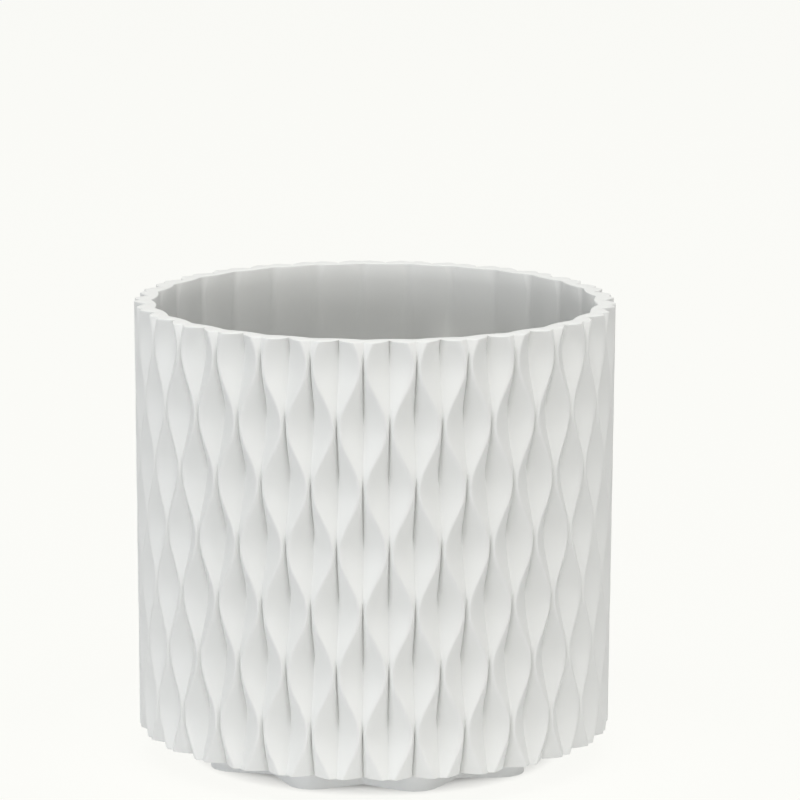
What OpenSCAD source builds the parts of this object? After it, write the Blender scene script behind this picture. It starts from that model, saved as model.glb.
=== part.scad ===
// Rotating makeup brush holder: a cup with an embossed leaf pattern that spins on a low star-shaped base.
// The origin is on the table under the spin axis, and +Z is up. All lengths are in millimetres.
// Angles round the cup are counted from the front, -Y, towards +X.

/* [Cup] */
// Diameter across the ridges at the rim
cup_d = 135; // [120:1:160]
// Height of the cup's wall, from its bottom edge to the rim
cup_h = 121.2; // [100:0.2:150]
// How much smaller the cup's radius is at its bottom edge
cup_taper = 0.9; // [0:0.1:2]
// Mean wall thickness at the rim, from the ridges outside to the flutes inside
cup_wall_t = 5.5; // [5:0.1:7]
// How much smaller the inside radius is at the bottom edge
bore_taper = 0.9; // [0.4:0.1:2]
// Depth of the shallow flutes on the inside wall
flute_depth = 1.1; // [0.2:0.1:1.6]

/* [Leaf pattern] */
// Leaves in one row round the cup
leaves_around = 29; // [22:1:32]
// Height of one leaf, from tip to tip
leaf_h = 34; // [28:0.5:44]
// Depth of a leaf at its middle
leaf_depth = 3.7; // [2:0.1:3.8]
// Width of a leaf at its tips, between the ridges beside it
tip_w = 1.75; // [1:0.05:3]
// Height of the lowest leaf tip above the cup's bottom edge
first_tip_h = 12.5; // [4:0.5:20]
// Angle of the first column of leaves from the front
pattern_turn = -2.4; // [-6:0.1:6]

/* [Floor] */
// Thickness of the floor disc
floor_t = 2.4; // [1.8:0.1:3.5]
// Width of the ledge that the floor disc lies on
ledge_w = 4.6; // [3:0.1:6]
// Thickness of that ledge
ledge_t = 2.4; // [1.6:0.1:3]
// Number of stiffening ribs under the floor
floor_ribs = 8; // [4:1:12]
// Thickness of those ribs
floor_rib_t = 1.6; // [1.2:0.1:2.5]

/* [Partitions] */
// Clear width of the square bay in the middle
bay_w = 40; // [34:0.5:46]
// Thickness of a partition
panel_t = 2; // [1.6:0.1:3]
// Height of a partition above the floor
panel_h = 88; // [60:1:98]
// Depth of the groove in a partition that takes its neighbour's edge
groove_depth = 0.7; // [0.4:0.05:1]
// Radius of a partition's top corners
panel_corner_r = 3; // [1:0.5:8]
// Wall thickness of the channels that hold the partitions' outer edges
guide_t = 1.6; // [1.2:0.1:2.4]
// How far a channel reaches in from the cup's wall
guide_reach = 5; // [4:0.5:8]
// Play round a partition in its groove or channel
panel_gap = 0.15; // [0.1:0.05:0.25]

/* [Ball bearing] */
// Number of balls
balls = 16; // [8:1:24]
// Diameter of a ball
ball_d = 5; // [4.5:0.1:5.4]
// Diameter of the circle that the balls run on
ball_circle_d = 64; // [60:0.5:68]
// Thickness of each race
race_t = 3; // [2.8:0.1:4]
// Distance between the two races
race_gap = 2.8; // [2.6:0.1:3.2]
// Width of the raised running track of each race
track_w = 10; // [9:0.5:11]
// Width of the thinner flange inside that track
flange_w = 7; // [6.5:0.1:8]
// How much thinner a race is inside its track
flange_step = 0.6; // [0.2:0.1:1]
// Thickness of the ball cage
cage_t = 1.5; // [1.2:0.1:1.8]
// Width of the ball cage
cage_w = 8; // [7:0.5:9]
// Play round a ball in its groove and in its pocket
ball_gap = 0.1; // [0.05:0.01:0.15]

/* [Pivot] */
// Diameter of the steel shaft
shaft_d = 8; // [7:0.1:9]
// Diameter of the shaft's foot
shaft_foot_d = 14; // [12:0.5:16]
// Thickness of the shaft's foot
shaft_foot_t = 1.2; // [1:0.1:1.6]
// Running clearance between the shaft and the bush, on the radius
shaft_gap = 0.05; // [0.02:0.01:0.09]
// Outside diameter of the bush
bush_d = 12.4; // [11:0.1:14]
// Diameter of the bush's collar
collar_d = 17; // [16:0.5:19]
// Thickness of the bush's collar
collar_t = 1.2; // [0.8:0.1:1.6]
// Depth of the hub under the floor
hub_drop = 3; // [2:0.1:3.4]
// Diameter of that hub
hub_d = 20; // [18:0.5:24]
// Up and down play of the cup on its shaft
lift_gap = 0.2; // [0.1:0.05:0.3]
// Diameter of the retaining washer
washer_d = 18; // [16:0.5:19]
// Thickness of the retaining washer
washer_t = 1; // [0.8:0.1:1.4]
// Diameter of the cap over the retaining screw
cap_d = 26; // [25:0.5:30]
// Wall thickness of that cap
cap_t = 1.6; // [1.2:0.1:2]
// Depth of the recess that the cap sits in
cap_seat = 0.6; // [0.3:0.1:1]

/* [Screws] */
// Diameter of the retaining screw
pivot_screw_d = 3.9; // [3:0.1:4.4]
// Length of the retaining screw under its head
pivot_screw_l = 9; // [6:0.5:10]
// Diameter of the retaining screw's head
pivot_head_d = 7.6; // [6.5:0.1:9]
// Height of the retaining screw's head
pivot_head_h = 2.4; // [1.8:0.1:2.6]
// Diameter of the race screws
race_screw_d = 2.2; // [1.8:0.1:2.6]
// Diameter of the race screws' heads
race_head_d = 5; // [4.4:0.1:5.4]
// Height of the race screws' heads
race_head_h = 1.6; // [1.2:0.1:1.8]
// Distance of the race screws from the running track
screw_inset = 3.25; // [3.2:0.05:3.6]
// Screws in each race
race_screws = 4; // [3:1:6]
// Play round a screw in its pilot hole, on the radius
screw_gap = 0.05; // [0.02:0.01:0.1]

/* [Base] */
// Number of lobes of the star
lobes = 10; // [8:1:12]
// Diameter across the star's lobes, before their tips are rounded
star_d = 111.6; // [106:0.2:112]
// Diameter across the star's notches
notch_d = 87.4; // [84:0.2:92]
// Radius of the lobes' tips
tip_round = 7.2; // [4:0.2:9]
// Radius of the notches
notch_round = 2; // [1:0.1:4]
// Height of the base plate
base_h = 6.2; // [5.6:0.1:9]
// Thickness of the base plate's top
base_top_t = 2.4; // [2:0.1:2.8]
// Thickness of the base plate's walls and ribs
base_wall_t = 1.8; // [1.4:0.1:2.2]
// Angle of the first lobe from the front
base_turn = 14.4; // [0:0.1:35]
// Gap between the base plate and the cup's bottom edge
cup_gap = 1; // [0.6:0.1:2]
// Diameter of the round wall under the base plate
ring_d = 62; // [60:1:66]
// Diameter of the boss that holds the shaft
boss_d = 19; // [17:0.5:21]
// How far the ribs stay back from the underside
rib_step = 0.6; // [0.3:0.1:1]

/* [Feet] */
// Number of foot pads
feet = 5; // [5]
// Diameter of a foot pad
foot_d = 10; // [8:0.5:11]
// Thickness of a foot pad
foot_t = 2; // [1.6:0.1:2.6]
// How far a foot pad stands out of the base
foot_proud = 0.8; // [0.5:0.1:1.2]
// Diameter of the circle that the foot pads stand on
foot_circle_d = 84; // [80:0.5:86]
// Thickness of the wall round a foot pad
foot_wall = 1.2; // [1:0.1:1.6]

/* [Hidden] */
$fn = 64;

white = [0.90, 0.91, 0.90];
pale = [0.86, 0.87, 0.87];
ivory = [0.82, 0.80, 0.74];
steel = [0.66, 0.68, 0.70];
rubber = [0.55, 0.56, 0.57];

// How far a cut runs past the face that it opens
overrun = 0.5;
// Clearance between two bonded or pressed pieces, on the radius
fit_gap = 0.02;
// Clearance between the floor or a guide and the fluted wall
wall_gap = 0.3;

// Heights, from the table up
base_z = foot_proud;
base_top = base_z + base_h;
cup_z = base_top + cup_gap;
rim_z = cup_z + cup_h;
ball_z = base_top + race_t + race_gap / 2;
upper_race_z = base_top + race_t + race_gap;
floor_z = upper_race_z + race_t;
floor_top = floor_z + floor_t;
bush_top = floor_top + lift_gap;
shaft_top = bush_top + lift_gap;

// The bearing's grooves, and the circles inside its running track
groove_r = ball_d / 2 + ball_gap;
race_hole_d = ball_circle_d - track_w - 2 * flange_w;
screw_circle_d = ball_circle_d - track_w - 2 * screw_inset;

// The cup's wall: its ridges outside, and its flutes inside
flute_amp = flute_depth / 2;
cup_bore_d = cup_d - 2 * cup_wall_t;
function ridge_r(h) = cup_d / 2 - cup_taper * (1 - h / cup_h);
function bore_r(h) = cup_bore_d / 2 - bore_taper * (1 - h / cup_h);
floor_h = floor_z - cup_z;
bore_min_r = bore_r(floor_h) - flute_amp;
floor_r = bore_min_r - wall_gap;
ledge_r = bore_min_r - ledge_w;

// The leaf pattern: columns of leaves, each column half a leaf higher than the one before it
columns = 2 * leaves_around;
column_turn = 360 / columns;
// Share of its mean width that a leaf gains at its middle and loses at its tips
swing_share = 1 - tip_w / (PI * cup_d / columns);
rows_per_leaf = 8;
row_h = leaf_h / rows_per_leaf;
// How far along its leaf, from 0 at one tip to 1 at the next, a column is at height h
function along(c, h) =
    let (leaf = (h - first_tip_h) / leaf_h - (c % 2) / 2)
    leaf - floor(leaf);
// A leaf's width at height h as a share of its mean width, and its depth, which follows its width
function width_share(c, h) = 1 - swing_share * cos(360 * along(c, h));
function half_turn(c, h) = column_turn / 2 * width_share(c, h);
function leaf_r(c, h) = ridge_r(h) - leaf_depth * width_share(c, h) / (1 + swing_share);
first_row = ceil(-first_tip_h / row_h + 0.35);
last_row = floor((cup_h - first_tip_h) / row_h - 0.35);
row_heights = [
    0,
    for (k = [first_row : last_row]) first_tip_h + k * row_h,
    cup_h
];

function round_point(r, a, z) = [r * sin(a), -r * cos(a), z];
// One ring of the outside: a point on each leaf's centre line and one on the ridge beside it
function leaf_ring(h) = [
    for (c = [0 : columns - 1]) each [
        round_point(leaf_r(c, h), pattern_turn + c * column_turn, cup_z + h),
        round_point(ridge_r(h), pattern_turn + c * column_turn + half_turn(c, h), cup_z + h)
    ]
];
// One ring of the inside, with a shallow flute behind every second column
function flute_ring(r, amp, z) = [
    for (i = [0 : 2 * columns - 1])
        round_point(r + amp * cos(90 * i), pattern_turn + i * column_turn / 2, z)
];
function flat_ring(r, z) = flute_ring(r, 0, z);
// Triangles of a closed tube through equal rings, with the diagonals mirrored about every second line
function tube_faces(rings, n) = [
    for (j = [0 : rings - 1], i = [0 : n - 1])
        let (
            k = (i + 1) % n,
            up = (j + 1) % rings,
            a = j * n + i,
            b = j * n + k,
            c = up * n + k,
            d = up * n + i
        )
        each (i % 2 == 0 ? [[a, d, c], [a, c, b]] : [[a, d, b], [b, d, c]])
];

// Rounds the corners of an outline, each by its own radius
function unit(v) = v / norm(v);
function corner(a, p, b, r, steps) =
    let (
        u = unit(a - p),
        v = unit(b - p),
        half = acos(u * v) / 2,
        centre = p + unit(u + v) * r / sin(half),
        start = p + u * r / tan(half) - centre,
        first = atan2(start.y, start.x),
        sweep = sign(cross(p - a, b - p)) * (180 - 2 * half)
    )
    [for (k = [0 : steps]) centre + r * [cos(first + sweep * k / steps), sin(first + sweep * k / steps)]];
function rounded(points, radii, steps) =
    let (n = len(points))
    [for (i = [0 : n - 1]) each corner(points[(i + n - 1) % n], points[i], points[(i + 1) % n], radii[i], steps)];

// The star's outline, moved inwards by inset
lobe_turn = 180 / lobes;
flank = [star_d / 2 - notch_d / 2 * cos(lobe_turn), notch_d / 2 * sin(lobe_turn)];
flank_angle = atan2(flank.y, flank.x);
function star_points(inset) = [
    for (i = [0 : 2 * lobes - 1])
        let (
            r = i % 2 == 0
                ? star_d / 2 - inset / sin(flank_angle)
                : notch_d / 2 - inset / sin(flank_angle + lobe_turn)
        )
        r * [sin(i * lobe_turn), -cos(i * lobe_turn)]
];
function star_radii(inset) = [
    for (i = [0 : 2 * lobes - 1]) i % 2 == 0 ? tip_round - inset : notch_round + inset
];
module star(inset) {
    polygon(rounded(star_points(inset), star_radii(inset), 6));
}

// A ring with a square section
module ring(outer_r, inner_r, z, h) {
    translate([0, 0, z])
        difference() {
            cylinder(r = outer_r, h = h);
            translate([0, 0, -overrun]) cylinder(r = inner_r, h = h + 2 * overrun);
        }
}

// Copies spread evenly round the axis
module around(n, r) {
    for (i = [0 : n - 1]) rotate([0, 0, i * 360 / n]) translate([r, 0, 0]) children();
}

// A pan-head screw with a cross slot; its head's underside is at z = 0 and its shank points up
module screw(d, l, head_d, head_h) {
    slot_w = head_d / 7;
    slot_l = head_d * 0.6;
    slot_depth = head_h * 0.6;
    cylinder(d = d, h = l);
    difference() {
        translate([0, 0, -head_h]) cylinder(d = head_d, h = head_h);
        for (a = [0, 90])
            rotate([0, 0, a])
                translate([-slot_l / 2, -slot_w / 2, -head_h - overrun])
                    cube([slot_l, slot_w, slot_depth + overrun]);
    }
}

// The cup's wall: leaves outside, flutes inside, and a ledge for the floor
module outer_shell() {
    ledge_h = floor_h - ledge_t;
    rings = concat(
        [for (h = row_heights) leaf_ring(h)],
        [
            flute_ring(bore_r(cup_h), flute_amp, rim_z),
            flute_ring(bore_r(floor_h), flute_amp, floor_z),
            flat_ring(ledge_r, floor_z),
            flat_ring(ledge_r, floor_z - ledge_t),
            flute_ring(bore_r(ledge_h), flute_amp, floor_z - ledge_t),
            flute_ring(bore_r(0), flute_amp, cup_z)
        ]
    );
    color(white)
        polyhedron(
            points = [for (r = rings) each r],
            faces = tube_faces(len(rings), 2 * columns)
        );
}

// The floor: a disc with a hub for the bush, ribs, screw holes and a seat for the cap
module floor_disc() {
    pilot_h = race_screw_grip();
    rib_start = ball_circle_d / 2 + track_w / 2 + overrun;
    rib_end = ledge_r - overrun;
    color(pale)
        difference() {
            union() {
                translate([0, 0, floor_z]) cylinder(r = floor_r, h = floor_t);
                translate([0, 0, floor_z - hub_drop]) cylinder(d = hub_d, h = hub_drop + overrun);
                for (i = [0 : floor_ribs - 1])
                    rotate([0, 0, (i + 1 / 2) * 360 / floor_ribs])
                        translate([rib_start, -floor_rib_t / 2, floor_z - ledge_t])
                            cube([rib_end - rib_start, floor_rib_t, ledge_t + overrun]);
            }
            translate([0, 0, floor_z - hub_drop - overrun])
                cylinder(r = bush_d / 2 + fit_gap, h = hub_drop + floor_t + 2 * overrun);
            ring(cap_d / 2 + panel_gap, cap_d / 2 - cap_t - panel_gap, floor_top - cap_seat, cap_seat + overrun);
            around(race_screws, screw_circle_d / 2)
                translate([0, 0, floor_z - overrun])
                    cylinder(r = race_screw_d / 2 + screw_gap, h = pilot_h + overrun);
        }
}

// How far a race screw goes into the floor, or into the lower race
function race_screw_grip() = floor_t - cap_seat;

// The square-cornered section of a race, standing on its flange
module race_section() {
    track_in = ball_circle_d / 2 - track_w / 2;
    track_out = ball_circle_d / 2 + track_w / 2;
    flange_t = race_t - flange_step;
    polygon([
        [race_hole_d / 2, 0],
        [track_out, 0],
        [track_out, race_t],
        [track_in, race_t],
        [track_in, flange_t],
        [race_hole_d / 2, flange_t]
    ]);
}

// A race lying on its flat back, with its ball groove
module race() {
    difference() {
        rotate_extrude($fn = 96) race_section();
        translate([0, 0, race_t + race_gap / 2])
            rotate_extrude($fn = 96) translate([ball_circle_d / 2, 0]) circle(r = groove_r);
    }
}

module upper_race() {
    color(ivory)
        difference() {
            translate([0, 0, floor_z]) mirror([0, 0, 1]) race();
            around(race_screws, screw_circle_d / 2)
                translate([0, 0, upper_race_z - overrun])
                    cylinder(r = race_screw_d / 2 + 2 * screw_gap, h = race_t + 2 * overrun);
        }
}

module upper_race_screws() {
    shank = race_t - flange_step + race_screw_grip() - screw_gap;
    color(steel)
        around(race_screws, screw_circle_d / 2)
            translate([0, 0, upper_race_z + flange_step])
                screw(race_screw_d, shank, race_head_d, race_head_h);
}

// A plain bearing sleeve with a collar under the hub
module pivot_bush() {
    color(ivory)
        difference() {
            union() {
                translate([0, 0, floor_z - hub_drop - collar_t]) cylinder(d = collar_d, h = collar_t);
                translate([0, 0, floor_z - hub_drop - collar_t])
                    cylinder(d = bush_d, h = bush_top - floor_z + hub_drop + collar_t);
            }
            translate([0, 0, floor_z - hub_drop - collar_t - overrun])
                cylinder(r = shaft_d / 2 + shaft_gap, h = bush_top - floor_z + hub_drop + collar_t + 2 * overrun);
        }
}

// A low round cap that hides the retaining screw
module hub_cap() {
    cap_z = floor_top - cap_seat;
    head_top = shaft_top + washer_t + pivot_head_h;
    inside_top = head_top + cap_seat - cap_z;
    edge = cap_t;
    color(pale)
        translate([0, 0, cap_z])
            rotate_extrude($fn = 96)
                polygon([
                    [cap_d / 2 - cap_t, 0],
                    [cap_d / 2, 0],
                    [cap_d / 2, inside_top],
                    [cap_d / 2 - edge, inside_top + edge],
                    [0, inside_top + edge],
                    [0, inside_top],
                    [cap_d / 2 - cap_t, inside_top]
                ]);
}

// Where the partitions and their channels lie, before they are turned to their side of the cup
guide_w = panel_t + 2 * panel_gap + 2 * guide_t;
panel_x = bay_w / 2 + panel_t / 2;
guide_end = sqrt(pow(floor_r, 2) - pow(panel_x + guide_w / 2, 2));
slot_end = guide_end - guide_t;
panel_end = slot_end - panel_gap;
panel_start = -bay_w / 2 - groove_depth + panel_gap;

// One partition, with a groove near its middle where the next one butts against it
module partition(i) {
    l = panel_end - panel_start;
    outline = rounded(
        [[0, 0], [l, 0], [l, panel_h], [0, panel_h]],
        [panel_gap, panel_gap, panel_corner_r, panel_corner_r],
        6
    );
    color(pale)
        rotate([0, 0, i * 90])
            difference() {
                translate([bay_w / 2, panel_start, floor_top])
                    rotate([90, 0, 90])
                        linear_extrude(panel_t) polygon(outline);
                translate([bay_w / 2 - overrun, bay_w / 2 - panel_gap, floor_top - overrun])
                    cube([overrun + groove_depth, panel_t + 2 * panel_gap, panel_h + 2 * overrun]);
            }
}

// The channel on the wall that the partition's outer edge slides down into
module panel_guide(i) {
    reach = guide_reach + floor_r - guide_end;
    color(pale)
        rotate([0, 0, i * 90])
            difference() {
                intersection() {
                    translate([panel_x - guide_w / 2, guide_end - guide_reach, floor_top])
                        cube([guide_w, reach, panel_h]);
                    translate([0, 0, floor_top - overrun]) cylinder(r = floor_r, h = panel_h + 2 * overrun);
                }
                translate([
                    panel_x - panel_t / 2 - panel_gap,
                    guide_end - guide_reach - overrun,
                    floor_top - overrun
                ])
                    cube([panel_t + 2 * panel_gap, guide_reach - guide_t + overrun, panel_h + 2 * overrun]);
            }
}

// The ring that keeps the balls apart
module ball_cage() {
    color(ivory)
        difference() {
            ring(ball_circle_d / 2 + cage_w / 2, ball_circle_d / 2 - cage_w / 2, ball_z - cage_t / 2, cage_t);
            around(balls, ball_circle_d / 2)
                translate([0, 0, ball_z - cage_t]) cylinder(r = groove_r, h = 2 * cage_t);
        }
}

module bearing_balls() {
    color(steel)
        around(balls, ball_circle_d / 2) translate([0, 0, ball_z]) sphere(d = ball_d);
}

// The star-shaped base: a shallow shell, open below, with ribs, screw bosses, a shaft boss and foot pockets
module base_plate() {
    under_top = base_top - base_top_t;
    rib_h = base_h - base_top_t - rib_step + overrun;
    pocket = foot_t - foot_proud;
    head_r = race_head_d / 2 + 4 * screw_gap;
    color(white)
        difference() {
            union() {
                rotate([0, 0, base_turn])
                    difference() {
                        translate([0, 0, base_z]) linear_extrude(base_h) star(0);
                        translate([0, 0, base_z - overrun])
                            linear_extrude(base_h - base_top_t + overrun) star(base_wall_t);
                    }
                for (i = [0 : lobes - 1])
                    rotate([0, 0, base_turn + (2 * i + 1) * lobe_turn - 90])
                        translate([boss_d / 2 - base_wall_t, -base_wall_t / 2, base_z + rib_step])
                            cube([notch_d / 2 - boss_d / 2, base_wall_t, rib_h]);
                ring(ring_d / 2 + base_wall_t, ring_d / 2, base_z + rib_step, rib_h);
                translate([0, 0, base_z + rib_step]) cylinder(d = boss_d, h = rib_h);
                around(race_screws, screw_circle_d / 2)
                    translate([0, 0, base_z + rib_step]) cylinder(r = head_r + base_wall_t, h = rib_h);
                rotate([0, 0, base_turn - 90])
                    around(feet, foot_circle_d / 2)
                        translate([0, 0, base_z]) cylinder(r = foot_d / 2 + foot_wall, h = base_h - base_top_t + overrun);
            }
            translate([0, 0, base_z - overrun])
                cylinder(r = shaft_d / 2 + fit_gap, h = base_h + 2 * overrun);
            translate([0, 0, base_z - overrun])
                cylinder(r = shaft_foot_d / 2 + fit_gap, h = overrun + rib_step + shaft_foot_t);
            around(race_screws, screw_circle_d / 2) {
                translate([0, 0, base_z - overrun]) cylinder(r = head_r, h = under_top - base_z + overrun);
                translate([0, 0, base_z]) cylinder(r = race_screw_d / 2 + 2 * screw_gap, h = base_h + overrun);
            }
            rotate([0, 0, base_turn - 90])
                around(feet, foot_circle_d / 2)
                    translate([0, 0, base_z - overrun]) cylinder(r = foot_d / 2 + fit_gap, h = pocket + overrun);
        }
}

module lower_race() {
    color(ivory)
        difference() {
            translate([0, 0, base_top]) race();
            around(race_screws, screw_circle_d / 2)
                translate([0, 0, base_top - overrun])
                    cylinder(r = race_screw_d / 2 + screw_gap, h = race_screw_grip() + overrun);
        }
}

module lower_race_screws() {
    color(steel)
        around(race_screws, screw_circle_d / 2)
            translate([0, 0, base_top - base_top_t])
                screw(race_screw_d, base_top_t + race_screw_grip() - screw_gap, race_head_d, race_head_h);
}

// The steel shaft, pressed into the base from below, with a tapped hole in its top
module pivot_shaft() {
    foot_z = base_z + rib_step;
    hole_l = pivot_screw_l + 2 * screw_gap;
    color(steel)
        difference() {
            union() {
                translate([0, 0, foot_z]) cylinder(d = shaft_foot_d, h = shaft_foot_t);
                translate([0, 0, foot_z]) cylinder(d = shaft_d, h = shaft_top - foot_z);
            }
            translate([0, 0, shaft_top - hole_l])
                cylinder(r = pivot_screw_d / 2 + screw_gap, h = hole_l + overrun);
        }
}

module retaining_washer() {
    color(steel) ring(washer_d / 2, pivot_screw_d / 2 + 2 * screw_gap, shaft_top, washer_t);
}

module retaining_screw() {
    color(steel)
        translate([0, 0, shaft_top + washer_t])
            mirror([0, 0, 1])
                screw(pivot_screw_d, pivot_screw_l, pivot_head_d, pivot_head_h);
}

// A round pad with a bevelled edge and a shallow dish in its underside
module foot_pad(i) {
    bevel = foot_proud / 2;
    dish = foot_proud / 3;
    color(rubber)
        rotate([0, 0, base_turn - 90 + i * 360 / feet])
            translate([foot_circle_d / 2, 0, 0])
                rotate_extrude()
                    polygon([
                        [0, dish],
                        [foot_d / 2 - 3 * bevel, dish],
                        [foot_d / 2 - 3 * bevel, 0],
                        [foot_d / 2 - bevel, 0],
                        [foot_d / 2, bevel],
                        [foot_d / 2, foot_t],
                        [0, foot_t]
                    ]);
}

outer_shell();
floor_disc();
upper_race();
upper_race_screws();
pivot_bush();
hub_cap();
partition(0);  // partition_1
partition(1);  // partition_2
partition(2);  // partition_3
partition(3);  // partition_4
panel_guide(0);  // panel_guide_1
panel_guide(1);  // panel_guide_2
panel_guide(2);  // panel_guide_3
panel_guide(3);  // panel_guide_4
ball_cage();
bearing_balls();
base_plate();
lower_race();
lower_race_screws();
pivot_shaft();
retaining_washer();
retaining_screw();
foot_pad(0);  // foot_pad_1
foot_pad(1);  // foot_pad_2
foot_pad(2);  // foot_pad_3
foot_pad(3);  // foot_pad_4
foot_pad(4);  // foot_pad_5
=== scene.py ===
# %% [markdown]
# # A brush holder that spins, dressed in Blender
# The real object is a cup moulded in white ABS. Its wall is pressed all over into rows of leaves, and it
# turns on a low star-shaped base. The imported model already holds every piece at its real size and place, so
# this lesson adds what the eye needs: a finer wall, softened edges, and plastics, steel and rubber that read
# as such.

# %% Load the frame
import math

import bmesh
import bpy
import numpy as np
from mathutils import Matrix, Vector


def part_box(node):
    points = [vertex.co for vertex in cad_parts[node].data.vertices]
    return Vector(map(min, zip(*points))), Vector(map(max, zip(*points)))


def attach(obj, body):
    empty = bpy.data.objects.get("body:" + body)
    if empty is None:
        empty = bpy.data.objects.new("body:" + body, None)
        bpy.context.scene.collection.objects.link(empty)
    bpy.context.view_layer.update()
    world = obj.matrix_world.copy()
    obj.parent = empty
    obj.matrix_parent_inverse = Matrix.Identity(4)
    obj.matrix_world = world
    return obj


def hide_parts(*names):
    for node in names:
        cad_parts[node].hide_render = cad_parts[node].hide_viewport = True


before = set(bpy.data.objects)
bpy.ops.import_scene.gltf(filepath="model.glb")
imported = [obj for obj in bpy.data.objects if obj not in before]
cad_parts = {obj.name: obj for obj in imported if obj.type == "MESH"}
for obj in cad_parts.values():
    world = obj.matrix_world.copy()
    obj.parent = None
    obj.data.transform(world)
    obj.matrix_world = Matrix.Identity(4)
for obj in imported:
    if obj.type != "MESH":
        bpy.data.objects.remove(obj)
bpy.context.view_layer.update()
MM = 0.001

# %% [markdown]
# ## The camera
# The photograph was taken from far away with a long lens, a little above the rim. A camera fitted to the
# ellipses of the rim and the foot gives the values here. It could be aimed with three angles, but the
# picture is also turned by a fifth of a degree, and that is clearer when the matrix is built from its three
# axes.

# %% Camera
photo_size = 800
focal_pixels = 4976.8
camera_distance = 1399.3 * MM
camera_elevation = math.radians(11.01)
camera_roll = math.radians(0.203)
camera_target = Vector((7.09, 0, 100.57)) * MM
nearest_seen = 50 * MM
farthest_seen = 20000 * MM


def make_camera():
    data = bpy.data.cameras.new("camera")
    data.lens = focal_pixels * data.sensor_width / photo_size
    data.clip_start = nearest_seen
    data.clip_end = farthest_seen
    back = Vector((0, -math.cos(camera_elevation), math.sin(camera_elevation)))
    level = Vector((1, 0, 0))
    upright = back.cross(level)
    right = level * math.cos(camera_roll) + upright * math.sin(camera_roll)
    up = back.cross(right)
    camera = bpy.data.objects.new("camera", data)
    bpy.context.collection.objects.link(camera)
    turn = Matrix((right, up, back)).transposed().to_4x4()
    camera.matrix_world = Matrix.Translation(camera_target + back * camera_distance) @ turn
    bpy.context.scene.camera = camera
    return data


print("lens in mm", round(make_camera().lens, 1))

# %% [markdown]
# ## Colours and nodes
# Colours are written as the hex values that a colour picker gives, and one function turns them to the
# linear values that a shader wants. Every tree here is made with one small function, which adds a node, sets
# its settings and connects its inputs, so a tree reads from top to bottom like a recipe. Most steps of the
# longest tree are arithmetic, so the name of that node is kept short.

# %% Helpers for trees
MATH = "ShaderNodeMath"


def linear(hex_colour):
    """Turns a hex colour to linear red, green and blue by the curve of sRGB, with full alpha."""
    channels = [int(hex_colour[i : i + 2], 16) / 255 for i in (0, 2, 4)]
    return tuple(c / 12.92 if c <= 0.04045 else ((c + 0.055) / 1.055) ** 2.4 for c in channels) + (1.0,)


def add(tree, kind, inputs=(), **settings):
    """Adds a node. Its inputs are values, outputs or nodes, as a list or by name.

    A node stands for its first output.
    """
    made = tree.nodes.new(kind)
    for name, value in settings.items():
        setattr(made, name, value)
    pairs = inputs.items() if isinstance(inputs, dict) else enumerate(inputs)
    for socket, value in pairs:
        if isinstance(value, bpy.types.Node):
            value = value.outputs[0]
        if isinstance(value, bpy.types.NodeSocket):
            tree.links.new(value, made.inputs[socket])
        else:
            made.inputs[socket].default_value = value
    return made


def new_material(name):
    material = bpy.data.materials.new(name)
    material.use_nodes = True
    material.node_tree.nodes.clear()
    return material, material.node_tree


print("the cup's white, linear:", [round(c, 3) for c in linear("ECEDEB")])

# %% [markdown]
# ## Moulded plastics
# White ABS comes out of a polished or lightly etched mould with a satin skin. Up close that skin has a fine,
# shallow grain, a slightly uneven gloss where the plastic cooled, and a hardly visible drift in its white.
# All the plastics share one recipe and differ in colour, gloss and grain. The grain of the real mould is
# about 0.1 mm, too fine for this picture, so it is drawn at a few tenths of a millimetre.

# %% Plastic recipe
# How far apart the drifts in the white and in the gloss lie, and how much the roughness drifts
white_spacing = 28 * MM
gloss_spacing = 6 * MM
gloss_drift = 0.05
# How strongly each plastic bends light, and nylon bends it as ABS does
abs_ior = 1.53
acetal_ior = 1.48
rubber_ior = 1.52


def moulded_plastic(name, pale, dull, roughness, grain, grain_height, ior=abs_ior):
    """pale and dull are the ends of the colour's drift, and grain is the spacing of the grain."""
    material, tree = new_material(name)
    place = add(tree, "ShaderNodeTexCoord").outputs["Object"]
    drift = add(tree, "ShaderNodeTexNoise", {"Vector": place, "Scale": 1 / white_spacing, "Detail": 2.0})
    colour = add(
        tree,
        "ShaderNodeMix",
        {0: drift.outputs["Fac"], 6: linear(pale), 7: linear(dull)},
        data_type="RGBA",
    )
    flow = add(tree, "ShaderNodeTexNoise", {"Vector": place, "Scale": 1 / gloss_spacing, "Detail": 3.0})
    gloss = add(
        tree,
        "ShaderNodeMapRange",
        {
            "Value": flow.outputs["Fac"],
            "To Min": roughness - gloss_drift,
            "To Max": roughness + gloss_drift,
        },
    )
    skin = add(tree, "ShaderNodeTexNoise", {"Vector": place, "Scale": 1 / grain, "Detail": 2.0})
    bump = add(
        tree,
        "ShaderNodeBump",
        {"Height": skin.outputs["Fac"], "Distance": grain_height, "Strength": 1.0},
    )
    shader = add(
        tree,
        "ShaderNodeBsdfPrincipled",
        {
            "Base Color": colour.outputs[2],
            "Roughness": gloss.outputs["Result"],
            "Normal": bump.outputs["Normal"],
            "IOR": ior,
        },
    )
    add(tree, "ShaderNodeOutputMaterial", {"Surface": shader.outputs["BSDF"]})
    return material


# The cup: pale satin ABS. The eye sees a soft broad sheen and no mirror image.
cup_abs = moulded_plastic("satin_white_abs", "ECEDEB", "E8E9E7", 0.46, 0.45 * MM, 0.006 * MM)
# The base: ABS from a smoother mould. Its white is painted lighter than the cup's, as painted light that
# makes up for the shade under the cup's edge.
base_abs = moulded_plastic("smooth_white_abs", "F5F6F5", "F0F2F1", 0.38, 0.6 * MM, 0.003 * MM)
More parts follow.
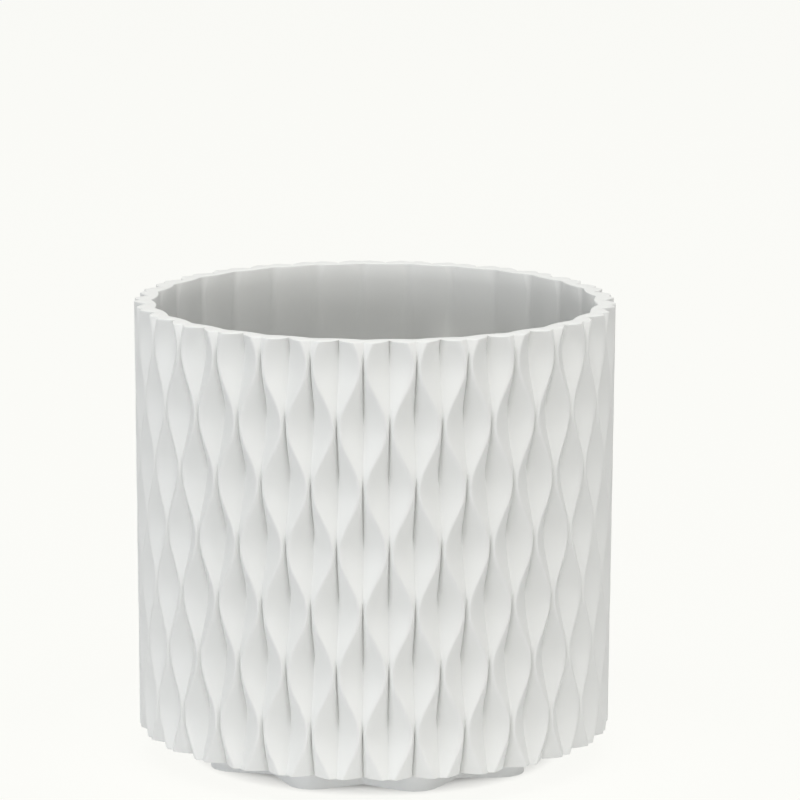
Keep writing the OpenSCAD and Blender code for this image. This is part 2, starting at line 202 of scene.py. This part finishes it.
# The inside: ABS from an etched mould, duller than the outside.
inner_abs = moulded_plastic("etched_white_abs", "E9E9E7", "E3E4E2", 0.58, 0.5 * MM, 0.012 * MM)
# Races and bush: natural acetal, waxy and faintly yellow.
acetal = moulded_plastic("natural_acetal", "E3DFD2", "DBD7C9", 0.34, 0.8 * MM, 0.003 * MM, acetal_ior)
# The cage: natural nylon, a touch warmer and duller.
nylon = moulded_plastic("natural_nylon", "DDD7C4", "D2CCB8", 0.48, 0.5 * MM, 0.006 * MM)
# The pads: matt grey rubber with a coarse skin.
rubber = moulded_plastic("grey_rubber", "B4B6B6", "A6A8A8", 0.82, 0.35 * MM, 0.02 * MM, rubber_ior)
print("plastics", [m.name for m in (cup_abs, base_abs, inner_abs, acetal, nylon, rubber)])

# %% [markdown]
# ## Steels
# The balls are polished, the shaft was turned on a lathe, and the screws and washer are bright zinc plate.
# They are hidden in use, but each has its own finish. Turning
# marks are thin rings round the axis, and polish and plate show soft clouds.

# %% Steel recipe
# The roughness of the brightest and of the dullest spots, as shares of the mean
bright_share = 0.8
dull_share = 1.25


def steel(name, hex_colour, roughness, marks, mark_spacing, mark_height):
    """marks is 'rings' for the marks of a lathe, or 'clouds' for polish and plating."""
    material, tree = new_material(name)
    place = add(tree, "ShaderNodeTexCoord").outputs["Object"]
    if marks == "rings":
        pattern = add(
            tree,
            "ShaderNodeTexWave",
            {"Vector": place, "Scale": 1 / mark_spacing, "Distortion": 0.6, "Detail": 2.0},
            wave_type="BANDS",
            bands_direction="Z",
        ).outputs["Fac"]
    else:
        clouds = add(tree, "ShaderNodeTexNoise", {"Vector": place, "Scale": 1 / mark_spacing})
        pattern = clouds.outputs["Fac"]
    gloss = add(
        tree,
        "ShaderNodeMapRange",
        {"Value": pattern, "To Min": roughness * bright_share, "To Max": roughness * dull_share},
    )
    bump = add(tree, "ShaderNodeBump", {"Height": pattern, "Distance": mark_height})
    shader = add(
        tree,
        "ShaderNodeBsdfPrincipled",
        {
            "Base Color": linear(hex_colour),
            "Metallic": 1.0,
            "Roughness": gloss.outputs["Result"],
            "Normal": bump.outputs["Normal"],
        },
    )
    add(tree, "ShaderNodeOutputMaterial", {"Surface": shader.outputs["BSDF"]})
    return material


# The balls: ground and polished bearing steel, nearly a mirror.
ball_steel = steel("polished_bearing_steel", "C9CBCE", 0.12, "clouds", 1.5 * MM, 0.0005 * MM)
# The shaft: turned steel, whose fine rings stretch its highlight.
shaft_steel = steel("turned_steel", "B4B6B9", 0.28, "rings", 0.35 * MM, 0.004 * MM)
# Screws and washer: bright zinc plate, paler and a little cloudy.
zinc = steel("bright_zinc_plate", "BFC3C6", 0.34, "clouds", 0.8 * MM, 0.002 * MM)
print("steels", [m.name for m in (ball_steel, shaft_steel, zinc)])

# %% [markdown]
# ## The wall, before it is pressed
# The wall is easiest to think of as a turned tube: a section is drawn once and swept round the axis. The
# tube carries two weights on its points: where the leaves press in (the outside) and where the inside is
# fluted. Round each column of leaves the points stand closer near the crease and near the ridges, because
# that is where the surface bends. The edges of the rim and the foot are rounded by a few tenths of a
# millimetre, as a mould leaves them, and that is what gives the rim its thin bright line.

# %% Sizes of the wall
leaves_around = 29
columns = 2 * leaves_around
# From the rim to the foot the wall leans in by the taper, outside and inside
taper = 0.9 * MM
wall_thick = 5.5 * MM
wall_low, wall_high = (corner.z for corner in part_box("outer_shell"))
wall_height = wall_high - wall_low
rim_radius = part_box("outer_shell")[1].x
foot_radius = rim_radius - taper
bore_radius = rim_radius - wall_thick
bore_foot_radius = bore_radius - taper
floor_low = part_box("upper_race")[1].z
ledge_thick = 2.4 * MM
ledge_width = 6.0 * MM
ledge_radius = bore_radius - ledge_width
edge_round = 0.35 * MM
print("wall from", round(wall_low / MM, 1), "to", round(wall_high / MM, 1), "mm")

# %% The section
outside_rows = 84
inside_rows = 5
first_inside_row_drop = 5 * MM
corner_steps = 3


def outside_radius(z):
    return foot_radius + (rim_radius - foot_radius) * (z - wall_low) / wall_height


def inside_radius(z):
    return bore_foot_radius + (bore_radius - bore_foot_radius) * (z - wall_low) / wall_height


def quarter_turn(radius, z, towards, rise, press, flute, steps):
    """Points round an edge: from the side (radius, z) to the end face, or back when steps is negative.

    towards is 1 or -1 for an end face that lies outwards or inwards of the side, and rise is 1 at the
    top and -1 at the bottom.
    """
    points = []
    for k in range(abs(steps) + 1):
        share = k / abs(steps)
        angle = math.pi / 2 * (share if steps > 0 else 1 - share)
        points.append(
            (
                radius + towards * edge_round * (1 - math.cos(angle)),
                z - rise * edge_round * (1 - math.sin(angle)),
                press,
                flute,
            )
        )
    return points


def wall_section():
    """The section's points (radius, height, press, flute), up the outside and down the inside."""
    heights = np.linspace(wall_low + edge_round, wall_high - edge_round, outside_rows)[1:-1]
    inside_heights = np.linspace(wall_high - first_inside_row_drop, floor_low, inside_rows)
    under_ledge = floor_low - ledge_thick
    section = quarter_turn(outside_radius(wall_low), wall_low, -1, -1, 1, 0, -corner_steps)
    section += [(outside_radius(z), z, 1, 0) for z in heights]
    section += quarter_turn(outside_radius(wall_high), wall_high, -1, 1, 1, 0, corner_steps)
    section += quarter_turn(inside_radius(wall_high), wall_high, 1, 1, 0, 1, -corner_steps)
    section += [(inside_radius(z), z, 0, 1) for z in inside_heights]
    section += [(ledge_radius, floor_low, 0, 0), (ledge_radius, under_ledge, 0, 0)]
    section += [(inside_radius(floor_low), under_ledge, 0, 1)]
    section += quarter_turn(inside_radius(wall_low), wall_low, 1, -1, 0, 1, corner_steps)
    return section


section = wall_section()
print("points in the section", len(section))

# %% The turned tube
pattern_turn = math.radians(-2.4)
# Where the points stand on the way from a column's crease to its ridge
point_shares = [0, 0.035, 0.09, 0.18, 0.34, 0.56, 0.78, 0.92]


def turned_tube(section):
    """Sweeps the section round the axis, and keeps its two weights on the points."""
    across_shares = [-1] + [-share for share in point_shares[:0:-1]] + point_shares
    steps = [(c + (share + 1) / 2 - 0.5) / columns for c in range(columns) for share in across_shares]
    angles = pattern_turn + 2 * math.pi * np.array(steps)
    rows = np.array(section)
    around = len(angles)
    along = len(rows)
    x = np.outer(rows[:, 0], np.sin(angles))
    y = -np.outer(rows[:, 0], np.cos(angles))
    z = np.repeat(rows[:, 1], around).reshape(along, around)
    mesh = bpy.data.meshes.new("outer_shell_wall")
    i, j = np.meshgrid(np.arange(around), np.arange(along))
    next_i = (i + 1) % around
    next_j = (j + 1) % along
    corners = [j * around + i, j * around + next_i, next_j * around + next_i, next_j * around + i]
    faces = np.stack(corners, -1).reshape(-1, 4)
    mesh.from_pydata(np.stack([x, y, z], -1).reshape(-1, 3).tolist(), [], faces.tolist())
    for name, column in (("press", 2), ("flute", 3)):
        weight = mesh.attributes.new(name, "FLOAT", "POINT")
        weight.data.foreach_set("value", np.repeat(rows[:, column], around).astype(np.float32))
    tube = bpy.data.objects.new("outer_shell_wall", mesh)
    bpy.context.collection.objects.link(tube)
    return tube


wall = turned_tube(section)
print("tube points", len(wall.data.vertices), "faces", len(wall.data.polygons))

# %% [markdown]
# ## Pressing the leaves, with Geometry Nodes
# The pattern follows a rule, so a node tree makes it, and its sizes are named inputs. Fifty-eight columns of
# leaves stand round the cup, and each column sits half a leaf above or below its neighbours. A column is
# widest at the middle of a leaf, where both neighbours are at their tips, so the ridge between two columns
# swings from side to side like a slow wave. The tree first slides every point sideways so that the mesh
# follows those ridges. Then it pushes the point in. A leaf is a valley with straight sides, so it gets
# deeper as it gets wider, and in its upper part a narrow slit runs down its middle.

# %% The tree's inputs
leaf_sizes = {
    "Leaves around": leaves_around,
    "Leaf height": 34 * MM,
    "Leaf depth": 3.7 * MM,
    "Tip width": 1.75 * MM,
    "Crest rounding": 0.4 * MM,
    "Slit depth": 1.45 * MM,
    "Slit width": 0.44 * MM,
    "First tip height": 12.5 * MM,
    "Pattern turn": pattern_turn,
    "Foot height": wall_low,
    "Rim radius": rim_radius,
    "Flute height": 0.55 * MM,
}


def geometry_tree(name, sizes):
    """Returns a tree with named inputs for the sizes and a material, and what its inputs give."""
    tree = bpy.data.node_groups.new(name, "GeometryNodeTree")
    tree.interface.new_socket("Geometry", in_out="INPUT", socket_type="NodeSocketGeometry")
    for size_name, size in sizes.items():
        kind = "NodeSocketInt" if isinstance(size, int) else "NodeSocketFloat"
        tree.interface.new_socket(size_name, in_out="INPUT", socket_type=kind)
    tree.interface.new_socket("Material", in_out="INPUT", socket_type="NodeSocketMaterial")
    tree.interface.new_socket("Geometry", in_out="OUTPUT", socket_type="NodeSocketGeometry")
    return tree, add(tree, "NodeGroupInput").outputs


press_leaves, given = geometry_tree("press_leaves", leaf_sizes)
print("inputs of the leaf tree", [socket.name for socket in given if socket.name])


# %% Which column and which leaf a point is in
def find_leaf(tree, given, x, y, z, turn):
    """Returns the angle from the first column, the column, and the places across it and along the leaf."""
    forwards = add(tree, MATH, [y, -1.0], operation="MULTIPLY")
    angle = add(tree, MATH, [x, forwards], operation="ARCTAN2")
    from_first = add(tree, MATH, [angle, given["Pattern turn"]], operation="SUBTRACT")
    turns = add(tree, MATH, [from_first, turn], operation="DIVIDE")
    counted = add(tree, MATH, [turns, 0.5], operation="ADD")
    column = add(tree, MATH, [counted], operation="FLOOR")
    column_share = add(tree, MATH, [counted], operation="FRACT")
    across = add(tree, MATH, [column_share, 2.0, -1.0], operation="MULTIPLY_ADD")
    odd = add(tree, MATH, [column, 2.0], operation="FLOORED_MODULO")
    stagger = add(tree, MATH, [odd, -0.5], operation="MULTIPLY")
    lowest = add(tree, MATH, [given["Foot height"], given["First tip height"]], operation="ADD")
    above = add(tree, MATH, [z, lowest], operation="SUBTRACT")
    leaves_up = add(tree, MATH, [above, given["Leaf height"]], operation="DIVIDE")
    staggered = add(tree, MATH, [leaves_up, stagger], operation="ADD")
    along = add(tree, MATH, [staggered], operation="FRACT")
    return from_first, column, across, along


point = add(press_leaves, "GeometryNodeInputPosition")
x, y, z = add(press_leaves, "ShaderNodeSeparateXYZ", [point]).outputs
turn = add(press_leaves, MATH, [math.pi, given["Leaves around"]], operation="DIVIDE")
from_first, column, across, along = find_leaf(press_leaves, given, x, y, z, turn)
print("nodes that find the leaf", len(press_leaves.nodes))


# %% How wide the leaf is there
def leaf_width(tree, given, along, turn):
    """Returns half the leaf's width, as a turn and as a length, and the slope of its flanks."""
    pitch = add(tree, MATH, [turn, given["Rim radius"]], operation="MULTIPLY")
    tip_share = add(tree, MATH, [given["Tip width"], pitch], operation="DIVIDE")
    swing = add(tree, MATH, [1.0, tip_share], operation="SUBTRACT")
    cycle = add(tree, MATH, [along, 2 * math.pi], operation="MULTIPLY")
    wave = add(tree, MATH, [cycle], operation="COSINE")
    narrowing = add(tree, MATH, [swing, wave], operation="MULTIPLY")
    width_share = add(tree, MATH, [1.0, narrowing], operation="SUBTRACT")
    whole_turn = add(tree, MATH, [width_share, turn], operation="MULTIPLY")
    half_turn = add(tree, MATH, [whole_turn, 0.5], operation="MULTIPLY")
    half_width = add(tree, MATH, [half_turn, given["Rim radius"]], operation="MULTIPLY")
    widest = add(tree, MATH, [given["Tip width"], -0.5, pitch], operation="MULTIPLY_ADD")
    run = add(tree, MATH, [widest, given["Crest rounding"]], operation="SUBTRACT")
    slope = add(tree, MATH, [given["Leaf depth"], run], operation="DIVIDE")
    return half_turn, half_width, slope


half_turn, half_width, slope = leaf_width(press_leaves, given, along, turn)
print("nodes with the leaf's width", len(press_leaves.nodes))


# %% How deep the valley is there
def valley_depth(tree, given, from_ridge, slope):
    """Returns the depth of a valley with straight sides and a rounded crest at each ridge."""
    crest = given["Crest rounding"]
    crest_square = add(tree, MATH, [crest, crest], operation="MULTIPLY")
    squares = add(tree, MATH, [from_ridge, from_ridge, crest_square], operation="MULTIPLY_ADD")
    root = add(tree, MATH, [squares], operation="SQRT")
    rounded = add(tree, MATH, [root, crest], operation="SUBTRACT")
    return add(tree, MATH, [rounded, slope], operation="MULTIPLY")


from_middle = add(press_leaves, MATH, [across], operation="ABSOLUTE")
from_crease = add(press_leaves, MATH, [from_middle, half_width], operation="MULTIPLY")
from_ridge = add(press_leaves, MATH, [half_width, from_crease], operation="SUBTRACT")
valley = valley_depth(press_leaves, given, from_ridge, slope)
print("nodes with the valley", len(press_leaves.nodes))

# %% How deep the slit is there
# The slit is deepest this far up the leaf. Its depth is a wave with this swing and this mean, cut off at
# nothing and at its full depth.
slit_place_share = 0.805
slit_swing_share = 1.3
slit_mean_share = 0.45


def slit_depth(tree, given, along, from_crease, from_ridge, half_width):
    """Returns the depth of the slit, which closes away from the crease and is gone at the ridge."""
    from_place = add(tree, MATH, [along, slit_place_share], operation="SUBTRACT")
    cycle = add(tree, MATH, [from_place, 2 * math.pi], operation="MULTIPLY")
    wave = add(tree, MATH, [cycle], operation="COSINE")
    swings = [wave, slit_swing_share, slit_mean_share]
    upper = add(tree, MATH, swings, operation="MULTIPLY_ADD", use_clamp=True)
    widths_away = add(tree, MATH, [from_crease, given["Slit width"]], operation="DIVIDE")
    falling = add(tree, MATH, [widths_away, -1.0], operation="MULTIPLY")
    closing = add(tree, MATH, [falling], operation="EXPONENT")
    ridge_share = add(tree, MATH, [from_ridge, half_width], operation="DIVIDE")
    fading = add(tree, MATH, [closing, ridge_share], operation="MULTIPLY")
    depth_share = add(tree, MATH, [upper, fading], operation="MULTIPLY")
    return add(tree, MATH, [depth_share, given["Slit depth"]], operation="MULTIPLY")


slit = slit_depth(press_leaves, given, along, from_crease, from_ridge, half_width)
print("nodes with the slit", len(press_leaves.nodes))


# %% The depth outside, and the flutes inside
def pressed_in(tree, valley, slit):
    """Returns how far a point moves in, which is nothing on the inside."""
    depth = add(tree, MATH, [valley, slit], operation="ADD")
    weight = add(tree, "GeometryNodeInputNamedAttribute", {"Name": "press"}).outputs["Attribute"]
    return add(tree, MATH, [depth, weight], operation="MULTIPLY")


def fluted_out(tree, given, from_first):
    """Returns how far a point moves out, in a wave round the bore, which is nothing on the outside."""
    cycle = add(tree, MATH, [from_first, given["Leaves around"]], operation="MULTIPLY")
    wave = add(tree, MATH, [cycle], operation="COSINE")
    weight = add(tree, "GeometryNodeInputNamedAttribute", {"Name": "flute"}).outputs["Attribute"]
    weighted = add(tree, MATH, [wave, weight], operation="MULTIPLY")
    return add(tree, MATH, [weighted, given["Flute height"]], operation="MULTIPLY")


pressed = pressed_in(press_leaves, valley, slit)
fluted = fluted_out(press_leaves, given, from_first)
print("nodes with the weights", len(press_leaves.nodes))


# %% The points' new places
def new_angle(tree, given, column, turn, across, half_turn):
    """Returns the point's angle once it has slid sideways to follow the ridges."""
    crease = add(tree, MATH, [column, turn, given["Pattern turn"]], operation="MULTIPLY_ADD")
    return add(tree, MATH, [across, half_turn, crease], operation="MULTIPLY_ADD")


def new_reach(tree, x, y, fluted, pressed):
    """Returns its distance from the axis once it has moved out with the flute and in with the leaf."""
    y_square = add(tree, MATH, [y, y], operation="MULTIPLY")
    squares = add(tree, MATH, [x, x, y_square], operation="MULTIPLY_ADD")
    radius = add(tree, MATH, [squares], operation="SQRT")
    moved_out = add(tree, MATH, [radius, fluted], operation="ADD")
    return add(tree, MATH, [moved_out, pressed], operation="SUBTRACT")


def new_place(tree, angle, reach, z):
    """Returns the point's new place, which is as high as before."""
    sine = add(tree, MATH, [angle], operation="SINE")
    cosine = add(tree, MATH, [angle], operation="COSINE")
    new_x = add(tree, MATH, [reach, sine], operation="MULTIPLY")
    forwards = add(tree, MATH, [reach, cosine], operation="MULTIPLY")
    new_y = add(tree, MATH, [forwards, -1.0], operation="MULTIPLY")
    return add(tree, "ShaderNodeCombineXYZ", [new_x, new_y, z])


angle = new_angle(press_leaves, given, column, turn, across, half_turn)
reach = new_reach(press_leaves, x, y, fluted, pressed)
place = new_place(press_leaves, angle, reach, z)
moved = add(press_leaves, "GeometryNodeSetPosition", {"Geometry": given["Geometry"], "Position": place})
print("nodes with the moves", len(press_leaves.nodes))


# %% The end of a tree
def finish_tree(tree, given, shape):
    """Ends a tree with real points, faces and a material, because the export drops instances."""
    real = add(tree, "GeometryNodeRealizeInstances", [shape])
    dressed = add(tree, "GeometryNodeSetMaterial", {"Geometry": real, "Material": given["Material"]})
    add(tree, "NodeGroupOutput", [dressed])


finish_tree(press_leaves, given, moved)
print("nodes in the whole leaf tree", len(press_leaves.nodes))

# %% [markdown]
# ## Keeping what a tree makes
# A modifier could stay on the wall, but joints move plain meshes and the export writes them. The tree runs
# once, its result is kept as a mesh, and the modifier goes. Then the wall is told which body it rides on,
# which solid it stands for, and what it is made of.


# %% Run a tree and keep the plain mesh
def apply_tree(piece, tree, sizes, material):
    """Sets the tree's inputs by their identifiers, and turns the result into a plain mesh."""
    modifier = piece.modifiers.new(tree.name, "NODES")
    modifier.node_group = tree
    sockets = {s.name: s.identifier for s in tree.interface.items_tree if s.in_out == "INPUT"}
    for name, size in sizes.items():
        modifier[sockets[name]] = size
    modifier[sockets["Material"]] = material
    piece.data.update()
    seen = piece.evaluated_get(bpy.context.evaluated_depsgraph_get())
    mesh = bpy.data.meshes.new_from_object(seen)
    piece.modifiers.clear()
    piece.data = mesh


apply_tree(wall, press_leaves, leaf_sizes, cup_abs)
wall.data.shade_smooth()
for name in ("press", "flute"):
    wall.data.attributes.remove(wall.data.attributes[name])
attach(wall, "cup")
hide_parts("outer_shell")
print("wall triangles", sum(len(p.vertices) - 2 for p in wall.data.polygons))

# %% [markdown]
# ## Softened edges on the moulded pieces
# The floor, the panels, their channels and the star base come out of moulds, and no moulded edge is razor
# sharp. A sharp edge is what gives a computer model away. Each piece could be drawn again, but the packed
# solids are right in size and place. So each is copied, its loose triangles are joined and its flat faces
# made whole, and a small bevel is run along its edges. The copy then stands for the solid.

# %% Copy and soften a node
# Points closer than this are joined, and faces that meet at less than this angle are made one
weld_distance = 0.002 * MM
flat_angle = math.radians(0.5)
# An edge whose faces meet at more than this angle gets the bevel
sharp_angle = math.radians(28)


def softened(node, bevel, material, body, segments=2):
    """Copies a CAD node, rounds its sharp edges, and lets the copy stand for it."""
    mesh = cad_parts[node].data.copy()
    mesh.name = node + "_soft"
    work = bmesh.new()
    work.from_mesh(mesh)
    bmesh.ops.remove_doubles(work, verts=work.verts, dist=weld_distance)
    bmesh.ops.dissolve_limit(work, angle_limit=flat_angle, verts=work.verts, edges=work.edges)
    work.to_mesh(mesh)
    work.free()
    mesh.materials.clear()
    mesh.materials.append(material)
    piece = bpy.data.objects.new(node + "_soft", mesh)
    bpy.context.collection.objects.link(piece)
    edge = piece.modifiers.new("bevel", "BEVEL")
    edge.width = bevel
    edge.segments = segments
    edge.limit_method = "ANGLE"
    edge.angle_limit = sharp_angle
    edge.use_clamp_overlap = True
    edge.harden_normals = True
    for polygon in mesh.polygons:
        polygon.use_smooth = True
    seen = piece.evaluated_get(bpy.context.evaluated_depsgraph_get())
    finished = bpy.data.meshes.new_from_object(seen)
    piece.modifiers.clear()
    piece.data = finished
    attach(piece, body)
    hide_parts(node)


softened("floor_disc", 0.25 * MM, inner_abs, "cup")
softened("hub_cap", 0.6 * MM, inner_abs, "cup")
for number in range(1, 5):
    softened(f"partition_{number}", 0.35 * MM, inner_abs, "cup", segments=3)
    softened(f"panel_guide_{number}", 0.25 * MM, inner_abs, "cup")
softened("base_plate", 0.4 * MM, base_abs, "base", segments=3)
print("moulded pieces softened")

# %% [markdown]
# ## The bearing, the pivot and the pads
# These are the pieces that let the cup turn: two races with a cage of balls between them, a shaft with its
# bush, and the screws and the washer. They are small and cut or moulded to fit, so their edges are only
# broken, by one or two tenths of a millimetre. The rubber pads are cut from a sheet and are as crisp.

# %% Bearing, pivot and pads
softened("upper_race", 0.2 * MM, acetal, "cup")
softened("lower_race", 0.2 * MM, acetal, "base")
softened("pivot_bush", 0.2 * MM, acetal, "cup")
softened("ball_cage", 0.15 * MM, nylon, "ball_ring")
softened("pivot_shaft", 0.2 * MM, shaft_steel, "base")
softened("retaining_washer", 0.15 * MM, zinc, "base")
softened("retaining_screw", 0.2 * MM, zinc, "base")
softened("upper_race_screws", 0.12 * MM, zinc, "cup")
softened("lower_race_screws", 0.12 * MM, zinc, "base")
for number in range(1, 6):
    softened(f"foot_pad_{number}", 0.15 * MM, rubber, "base")
print("bearing, pivot and pads softened")

# %% [markdown]
# ## The balls
# Sixteen equal balls stand on a circle. They could be sixteen spheres made in a loop, but what repeats by a
# rule is a small tree's work: it makes one ball and copies it to the points of a circle.

# %% Balls on a circle
balls_low, balls_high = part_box("bearing_balls")
ball_radius = (balls_high.z - balls_low.z) / 2
ball_sizes = {
    "Count": 16,
    "Segments": 32,
    "Rings": 16,
    "Circle radius": balls_high.x - ball_radius,
    "Ball radius": ball_radius,
    "Height": (balls_high.z + balls_low.z) / 2,
}


def ball_tree():
    tree, given = geometry_tree("balls_on_a_circle", ball_sizes)
    circle_sizes = {"Vertices": given["Count"], "Radius": given["Circle radius"]}
    circle = add(tree, "GeometryNodeMeshCircle", circle_sizes)
    sphere_sizes = {
        "Segments": given["Segments"],
        "Rings": given["Rings"],
        "Radius": given["Ball radius"],
    }
    ball = add(tree, "GeometryNodeMeshUVSphere", sphere_sizes)
    smooth = add(tree, "GeometryNodeSetShadeSmooth", [ball])
    placed = add(tree, "GeometryNodeInstanceOnPoints", {"Points": circle, "Instance": smooth})
    lift = add(tree, "ShaderNodeCombineXYZ", {"Z": given["Height"]})
    raised = add(tree, "GeometryNodeTranslateInstances", {0: placed, "Translation": lift})
    finish_tree(tree, given, raised)
    return tree


balls = bpy.data.objects.new("balls_polished", bpy.data.meshes.new("balls_polished"))
bpy.context.collection.objects.link(balls)
apply_tree(balls, ball_tree(), ball_sizes, ball_steel)
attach(balls, "ball_ring")
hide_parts("bearing_balls")
print("ball triangles", sum(len(p.vertices) - 2 for p in balls.data.polygons))

# %% [markdown]
# ## The floor
# The photograph is a product picture on white. The light on the object could simply be raised until the
# floor burns out, but then the cup burns out too. So the camera, and rays that metal or glass sends on, see
# a floor that glows white, while the rest of the light meets a pale painted sheet. The paint shows through a
# little, and fully close to the axis, which keeps the shadow under the base. It is palest near the base, so
# that it throws some light back on the star.

# %% Floor
background_white = "FEFEFA"
floor_reach = 6000 * MM
# The glow begins at the first of these distances from the axis, and is full at the second
glow_start = 38 * MM
glow_full = 53 * MM
glow_share = 0.95
# The paint is palest up to the first of these distances, and plain from the second
pale_end = 75 * MM
plain_start = 110 * MM
pale_share = 0.96
plain_share = 0.7


def shows_background(tree):
    """Gives 1 to rays from the camera, metal or glass, and 0 to those that light the object."""
    path = add(tree, "ShaderNodeLightPath").outputs
    sent_on = [path["Is Glossy Ray"], path["Is Transmission Ray"]]
    mirrored = add(tree, MATH, sent_on, operation="MAXIMUM")
    return add(tree, MATH, [path["Is Camera Ray"], mirrored], operation="MAXIMUM")


def pale_floor():
    material, tree = new_material("pale_floor")
    place = add(tree, "ShaderNodeTexCoord").outputs["Object"]
    length = add(tree, "ShaderNodeVectorMath", [place], operation="LENGTH")
    from_axis = length.outputs["Value"]
    paint_range = {
        "Value": from_axis,
        "From Min": pale_end,
        "From Max": plain_start,
        "To Min": pale_share,
        "To Max": plain_share,
    }
    paleness = add(tree, "ShaderNodeMapRange", paint_range)
    paint = add(tree, "ShaderNodeBsdfDiffuse", {"Color": paleness})
    glow = add(tree, "ShaderNodeEmission", {"Color": linear(background_white), "Strength": 1.0})
    glow_range = {
        "Value": from_axis,
        "From Min": glow_start,
        "From Max": glow_full,
        "To Max": glow_share,
    }
    white = add(tree, "ShaderNodeMapRange", glow_range)
    seen = add(tree, MATH, [shows_background(tree), white], operation="MULTIPLY")
    mix = add(tree, "ShaderNodeMixShader", [seen, paint, glow])
    add(tree, "ShaderNodeOutputMaterial", {"Surface": mix})
    return material


mesh = bpy.data.meshes.new("floor")
corners = [(x * floor_reach, y * floor_reach, 0) for x, y in ((-1, -1), (1, -1), (1, 1), (-1, 1))]
mesh.from_pydata(corners, [], [(0, 1, 2, 3)])
floor = bpy.data.objects.new("floor", mesh)
bpy.context.collection.objects.link(floor)
mesh.materials.append(pale_floor())
print("floor reaches", floor_reach, "m from the axis")

# %% [markdown]
# ## The sky and the lamps
# The sky is white where it is seen, as the floor is, and lights the object only faintly from all sides. Five
# lamps do the rest. The large one overhead shades the upper half of each leaf, and that draws the pattern.
# A low strip in front and two low, wide lamps at the sides reach under the cup's edge to the star. A weak
# one high behind lights the rim and the back wall. A picture of a studio could do the same work, but lamps
# are easier to place and to weigh against each other.

# %% Sky
sky_light = 0.18


def white_sky():
    world = bpy.data.worlds.new("white_sky")
    bpy.context.scene.world = world
    world.use_nodes = True
    tree = world.node_tree
    tree.nodes.clear()
    soft = add(tree, "ShaderNodeBackground", {"Color": linear("F4F5F6"), "Strength": sky_light})
    bright = add(tree, "ShaderNodeBackground", {"Color": linear(background_white), "Strength": 1.0})
    mix = add(tree, "ShaderNodeMixShader", [shows_background(tree), soft, bright])
    add(tree, "ShaderNodeOutputWorld", {"Surface": mix})
    return world


print("sky", white_sky().name)

# %% Lamps
# All the lamps point at the middle of the cup, and their places and sizes are in metres
lamp_aim = Vector((0, 0, 0.06))


def area_lamp(name, place, size, watts, hex_colour):
    """Hangs a lamp of this width and height at this place and points it at the cup."""
    data = bpy.data.lights.new(name, "AREA")
    data.shape = "RECTANGLE"
    data.size, data.size_y = size
    data.energy = watts
    data.color = linear(hex_colour)[:3]
    lamp = bpy.data.objects.new(name, data)
    bpy.context.collection.objects.link(lamp)
    lamp.location = place
    lamp.rotation_mode = "QUATERNION"
    lamp.rotation_quaternion = (lamp_aim - Vector(place)).to_track_quat("-Z", "Y")


area_lamp("lamp_front", (0.0, -1.6, 0.2), (1.0, 0.2), 3.4, "FEFDFB")
area_lamp("lamp_left", (-1.24, -0.84, 0.22), (1.2, 0.35), 5.6, "F7FAFF")
area_lamp("lamp_right", (1.24, -0.84, 0.22), (1.2, 0.35), 4.4, "FEFDFB")
area_lamp("lamp_top", (0.0, -0.4, 1.5), (1.1, 0.8), 15.4, "FFFEFC")
area_lamp("lamp_back", (0.0, 1.25, 1.15), (1.6, 0.5), 3.2, "FDFEFF")
print("watts of all lamps", round(sum(light.energy for light in bpy.data.lights), 1))

# %% [markdown]
# ## The picture
# The Standard view shows a colour as it was written.

# %% Picture settings
bpy.context.scene.view_settings.view_transform = "Standard"
